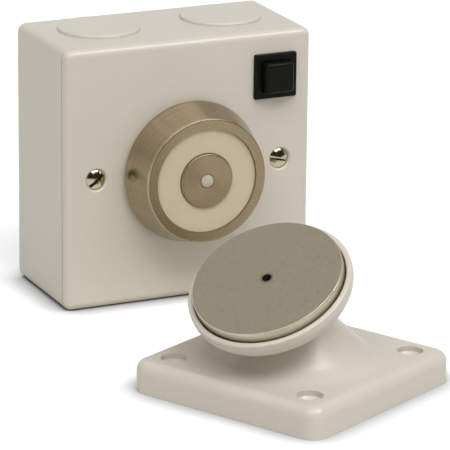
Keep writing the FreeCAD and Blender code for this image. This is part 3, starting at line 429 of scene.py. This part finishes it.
def turned_tone(finish, colour, length):
    """Turned cone: broad rings, stains, and streaks that run from foot to rim."""
    tone = finish.varied(finish.rings(length, RING_SCALE), colour, RING_TONES)
    stain = finish.noise(STAIN_SCALE, RICH)
    tone = finish.layer(tone, stain, STAIN_SHARE, shade(colour, STAIN_TONE))
    axes = finish.axes()
    streak = finish.rings(finish.maths("ARCTAN2", axes[X], axes[Z]), STREAKS_PER_RADIAN, RICH)
    return finish.layer(tone, streak, STREAK_SHARE, shade(colour, STREAK_TONE), STREAK_BAND)


def face_tone(finish, colour):
    """Dull end faces: a fine mottle with bright flecks."""
    tone = finish.varied(finish.noise(FACE_SCALE, FINE), colour, FACE_TONES)
    flecks = finish.noise(FACE_FLECK_SCALE, SMOOTH)
    return finish.layer(tone, flecks, 1.0, shade(colour, FACE_FLECK_TONE), FACE_FLECK_BAND)


def edge_highlight_mask(finish, along):
    """1 on the rounded edges just behind the magnet's end faces, where a highlight is painted."""
    rise = finish.spread(along, 0.0, 1.0, *HIGHLIGHT_START)
    fall = finish.spread(along, 1.0, 0.0, *HIGHLIGHT_END)
    return finish.times(rise, fall)


def turned_metal(name, colour, dull, edge_highlight):
    """Metal turned about the magnet's axis: rings on the cone, dull end faces and a painted highlight on
    the edges.
    """
    finish = Finish(name)
    along = finish.axes()[Y]
    length = finish.maths("ADD", finish.magnet_radius(), along)
    fine = finish.rings(length, FINE_RING_SCALE, FINE)
    face = finish.spread(along, 1.0, 0.0, *FACE_BLEND)
    tone = finish.tones(face, turned_tone(finish, colour, length), face_tone(finish, dull))
    # Painted highlight on the rounded edges
    tone = finish.tones(edge_highlight_mask(finish, along), tone, edge_highlight)
    gloss = finish.spread(fine, *TURNED_ROUGHNESS)
    gloss = finish.maths("ADD", gloss, finish.times(face, FACE_EXTRA_ROUGHNESS))
    around = finish.tree.nodes.new("ShaderNodeTangent")
    around.direction_type = "RADIAL"
    around.axis = "Y"
    finish.set(Base_Color=tone, Metallic=1.0, Roughness=gloss, Anisotropic=TURNED_ANISOTROPY)
    finish.set(Tangent=around.outputs[0], Normal=finish.bump(fine, FINE_RING_DEPTH))
    return finish.material


def disc_radius(finish):
    """Distance from the disc's own axis."""
    outward = finish.vector_maths("SUBTRACT", finish.place, PIVOT)["Vector"]
    height = finish.vector_maths("DOT_PRODUCT", outward, DISC_NORMAL)["Value"]
    reach_squared = finish.vector_maths("DOT_PRODUCT", outward, outward)["Value"]
    return finish.maths("SQRT", finish.maths("SUBTRACT", reach_squared, finish.squared(height)))


def scratches(finish):
    """Hairlines that run in a few directions."""
    total = 0.0
    for turn in SCRATCH_TURNS:
        stretched = finish.add("ShaderNodeMapping", Vector=finish.place, Scale=SCRATCH_STRETCH)
        put(finish.tree, stretched, "Rotation", SCRATCH_TILT + (turn,))
        grain = finish.noise(1.0, PLAIN, stretched.outputs[0])
        line = finish.spread(grain, 0.0, 1.0, *SCRATCH_BAND)
        total = finish.maths("ADD", line, total)
    return total


def ground_tone(finish, colour, mottle, radius):
    """Ground face: mottle, specks, worn patches, dark flecks and painted shade round the hole, where its
    countersink is.
    """
    tone = finish.varied(mottle, colour, MOTTLE_TONES)
    tone = finish.layer(tone, finish.noise(SPECK_SCALE, FINE), SPECK_SHARE, shade(colour, SPECK_TONE))
    tone = finish.layer(tone, finish.noise(WEAR_SCALE), WEAR_SHARE, shade(colour, WEAR_TONE))
    flecks = finish.noise(DISC_FLECK_SCALE, SMOOTH)
    tone = finish.layer(tone, flecks, 1.0, shade(colour, DISC_FLECK_TONE), DISC_FLECK_BAND)
    # Painted shade of the hole's countersink
    stain = finish.spread(radius, HOLE_SHADE_SHARE, 0.0, *HOLE_SHADE)
    return finish.tones(stain, tone, shade(colour, HOLE_SHADE_TONE))


def ground_metal(name, colour, edge_sheen):
    """Ground steel disc: hairline scratches over a fine mottle, and a smoother edge whose paler colour is
    a painted reflection.
    """
    finish = Finish(name)
    radius = disc_radius(finish)
    edge = finish.spread(radius, 0.0, 1.0, *DISC_EDGE)
    mottle = finish.noise(MOTTLE_SCALE, RICHEST)
    # Paler edge colour: painted reflection on a band that is also smoother
    tone = finish.tones(edge, ground_tone(finish, colour, mottle, radius), edge_sheen)
    marks = scratches(finish)
    gloss = finish.spread(mottle, *DISC_ROUGHNESS)
    gloss = finish.maths("SUBTRACT", gloss, finish.times(marks, SCRATCH_SMOOTHER))
    gloss = finish.maths("SUBTRACT", gloss, finish.times(edge, DISC_EDGE_SMOOTHER))
    finish.set(Base_Color=tone, Metallic=1.0, Roughness=gloss)
    finish.set(Normal=finish.bump(marks, SCRATCH_DEPTH))
    return finish.material


def wound_copper(name, colour):
    """Enamelled wire wound in close turns round the magnet's axis."""
    finish = Finish(name)
    turns = finish.maths("SINE", finish.times(finish.axes()[Y], 2.0 * math.pi / WIRE_PITCH))
    # Painted shade in the gaps between the turns
    tone = finish.tones(finish.spread(turns, 0.0, 1.0, -1.0, 1.0), shade(colour, WIRE_GAP_SHADE), colour)
    gloss = finish.spread(finish.noise(WIRE_GLOSS_SCALE), *WIRE_ROUGHNESS)
    finish.set(Base_Color=tone, Metallic=WIRE_METALLIC, Roughness=gloss)
    finish.set(Normal=finish.bump(turns, WIRE_DEPTH))
    return finish.material


def make_finishes():
    """One finish for each material slot of the record."""
    finishes = {
        "cream_plastic": moulded_plastic("cream_plastic", CREAM, CREAM_ROUGHNESS, seam_shade=True),
        "black_plastic": moulded_plastic("black_plastic", BLACK, BLACK_ROUGHNESS,
                                         BLACK_GRAIN_SCALE, BLACK_GLEAM),
        "magnet_steel": turned_metal("magnet_steel", NICKEL, NICKEL_FACE, NICKEL_EDGE_HIGHLIGHT),
        "ground_steel": ground_metal("ground_steel", STEEL_GROUND, STEEL_EDGE_SHEEN),
        "ivory_resin": cast_resin("ivory_resin", IVORY, IVORY_SHADOW),
        "enamelled_copper": wound_copper("enamelled_copper", COPPER),
    }
    for slot, (colour, roughness) in PLASTICS.items():
        finishes[slot] = moulded_plastic(slot, colour, roughness)
    for slot, (colour, roughness) in PLATED.items():
        finishes[slot] = plated_metal(slot, colour, roughness)
    return finishes


# Pieces

def dress_nodes(finishes):
    """Gives every CAD node the finish of its material slot."""
    for part in frame["record"]["subparts"]:
        node = frame["nodes"][part["node"]]
        node.data.materials.clear()
        node.data.materials.append(finishes[part["material_slot"]])


def make_springs():
    """Coil springs of the CAD's form, copied as pieces of their own in place of the CAD nodes."""
    for node_name, (joint, travel) in SPRINGS.items():
        mesh = frame["nodes"][node_name].data.copy()
        spring = bpy.data.objects.new(node_name + "_coil", mesh)
        bpy.context.scene.collection.objects.link(spring)
        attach(spring, "fixed_units")
        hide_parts(node_name)
        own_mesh(spring)


# Studio

def light_path(tree, *rays):
    """1 for rays of any of the named kinds."""
    path = tree.nodes.new("ShaderNodeLightPath")
    total = path.outputs[rays[0]]
    for name in rays[1:]:
        node = tree.nodes.new("ShaderNodeMath")
        node.operation = "MAXIMUM"
        tree.links.new(total, node.inputs[0])
        tree.links.new(path.outputs[name], node.inputs[1])
        total = node.outputs[0]
    return total


def choose(tree, amount, first, second):
    """The first shader where the amount is 0, and the second where it is 1."""
    node = tree.nodes.new("ShaderNodeMixShader")
    tree.links.new(amount, node.inputs[0])
    tree.links.new(first, node.inputs[1])
    tree.links.new(second, node.inputs[2])
    return node.outputs[0]


def open_floor(tree):
    """1 on the open floor, falling to 0 close to the object, where contact shade is painted."""
    near = add_node(tree, "ShaderNodeAmbientOcclusion", Distance=CONTACT_REACH)
    share = add_node(tree, "ShaderNodeMapRange", Value=near.outputs["AO"], From_Min=CONTACT_DEEP)
    return share.outputs[0]


def floor_material():
    """Pale floor that the camera sees as white, with shade where the object stands."""
    material = bpy.data.materials.new("studio_floor")
    material.use_nodes = True
    tree = material.node_tree
    tree.nodes.remove(tree.nodes["Principled BSDF"])
    share = open_floor(tree)
    tint = mix_colours(tree, share, FLOOR_CONTACT_SHADE, FLOOR_SEEN)
    lit = add_node(tree, "ShaderNodeBsdfDiffuse", Color=tint)
    glow = add_node(tree, "ShaderNodeEmission", Color=share, Strength=FLOOR_GLOW)
    seen = tree.nodes.new("ShaderNodeAddShader")
    tree.links.new(lit.outputs[0], seen.inputs[0])
    tree.links.new(glow.outputs[0], seen.inputs[1])
    bounce = add_node(tree, "ShaderNodeBsdfDiffuse", Color=FLOOR_BOUNCE)
    surface = choose(tree, light_path(tree, *SEEN_RAYS), bounce.outputs[0], seen.outputs[0])
    tree.links.new(surface, tree.nodes["Material Output"].inputs["Surface"])
    return material


def make_floor(level):
    """A wide plain floor just under the object's lowest point."""
    mesh = bpy.data.meshes.new("floor")
    builder = bmesh.new()
    bmesh.ops.create_grid(builder, x_segments=1, y_segments=1, size=FLOOR_HALF)
    builder.to_mesh(mesh)
    builder.free()
    mesh.materials.append(floor_material())
    floor = bpy.data.objects.new("floor", mesh)
    floor.location.z = level - FLOOR_DROP
    bpy.context.scene.collection.objects.link(floor)


def background(tree, colour):
    return add_node(tree, "ShaderNodeBackground", Color=colour).outputs[0]


def dim_side(tree):
    """1 towards the dim side of the studio, 0 away from it."""
    place = tree.nodes.new("ShaderNodeTexCoord")
    facing = tree.nodes.new("ShaderNodeVectorMath")
    facing.operation = "DOT_PRODUCT"
    facing.inputs[1].default_value = DIM_SIDE
    tree.links.new(place.outputs["Generated"], facing.inputs[0])
    edge = add_node(tree, "ShaderNodeMapRange", Value=facing.outputs["Value"])
    edge.interpolation_type = "SMOOTHSTEP"
    put(tree, edge, "From Min", DIM_EDGE)
    put(tree, edge, "From Max", DIM_CORE)
    return edge.outputs[0]


def make_world():
    """White studio: plain ambient light, and a dim side in front that polished metal mirrors."""
    world = bpy.data.worlds.new("studio")
    world.use_nodes = True
    bpy.context.scene.world = world
    tree = world.node_tree
    tree.nodes.remove(tree.nodes["Background"])
    mirrored = choose(tree, dim_side(tree), background(tree, MIRRORED), background(tree, DIM_COLOUR))
    reflects = light_path(tree, "Is Glossy Ray", "Is Transmission Ray")
    lit = choose(tree, reflects, background(tree, AMBIENT), mirrored)
    seen = choose(tree, light_path(tree, "Is Camera Ray"), lit, background(tree, WHITE))
    tree.links.new(seen, tree.nodes["World Output"].inputs["Surface"])


def make_lamps():
    """Soft lamps; one only fills in shade, and one only makes highlights."""
    for name, (azimuth, elevation, strength, breadth) in LAMPS.items():
        data = bpy.data.lights.new(name, "SUN")
        data.energy = strength
        data.angle = math.radians(breadth)
        lamp = bpy.data.objects.new(name, data)
        lamp.rotation_euler = (math.radians(90.0 - elevation), 0.0, math.radians(azimuth))
        lamp.visible_glossy = name not in UNMIRRORED
        lamp.visible_diffuse = name not in ONLY_MIRRORED
        bpy.context.scene.collection.objects.link(lamp)


def camera_turn():
    """The camera's right, up and backward directions as a rotation."""
    level = Vector((math.cos(CAMERA_YAW), -math.sin(CAMERA_YAW), 0.0))
    ahead = Vector((math.sin(CAMERA_YAW) * math.cos(CAMERA_PITCH),
                    math.cos(CAMERA_YAW) * math.cos(CAMERA_PITCH),
                    -math.sin(CAMERA_PITCH)))
    down = ahead.cross(level)
    right = level * math.cos(CAMERA_ROLL) + down * math.sin(CAMERA_ROLL)
    up = level * math.sin(CAMERA_ROLL) - down * math.cos(CAMERA_ROLL)
    return Matrix((right, up, -ahead)).transposed().to_4x4()


def make_camera():
    """The camera at the photograph's viewing angle."""
    data = bpy.data.cameras.new("camera")
    data.sensor_width = CAMERA_SENSOR
    data.lens = CAMERA_LENS
    data.shift_x, data.shift_y = CAMERA_SHIFT
    data.clip_start, data.clip_end = CAMERA_CLIP
    camera = bpy.data.objects.new("camera", data)
    camera.matrix_world = Matrix.Translation(CAMERA_PLACE) @ camera_turn()
    bpy.context.scene.collection.objects.link(camera)
    bpy.context.scene.camera = camera


with open("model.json") as file:
    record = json.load(file)
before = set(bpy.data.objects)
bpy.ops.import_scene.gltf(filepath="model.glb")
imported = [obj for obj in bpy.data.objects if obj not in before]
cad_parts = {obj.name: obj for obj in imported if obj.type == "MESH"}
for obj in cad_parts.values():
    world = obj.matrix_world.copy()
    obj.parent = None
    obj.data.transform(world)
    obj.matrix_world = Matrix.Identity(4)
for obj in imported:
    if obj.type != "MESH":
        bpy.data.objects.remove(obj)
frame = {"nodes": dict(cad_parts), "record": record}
cad_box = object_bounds()
bpy.context.scene.view_settings.view_transform = "Standard"
make_camera()
make_floor(cad_box[0].z)
make_world()
make_lamps()
dress_nodes(make_finishes())
make_springs()
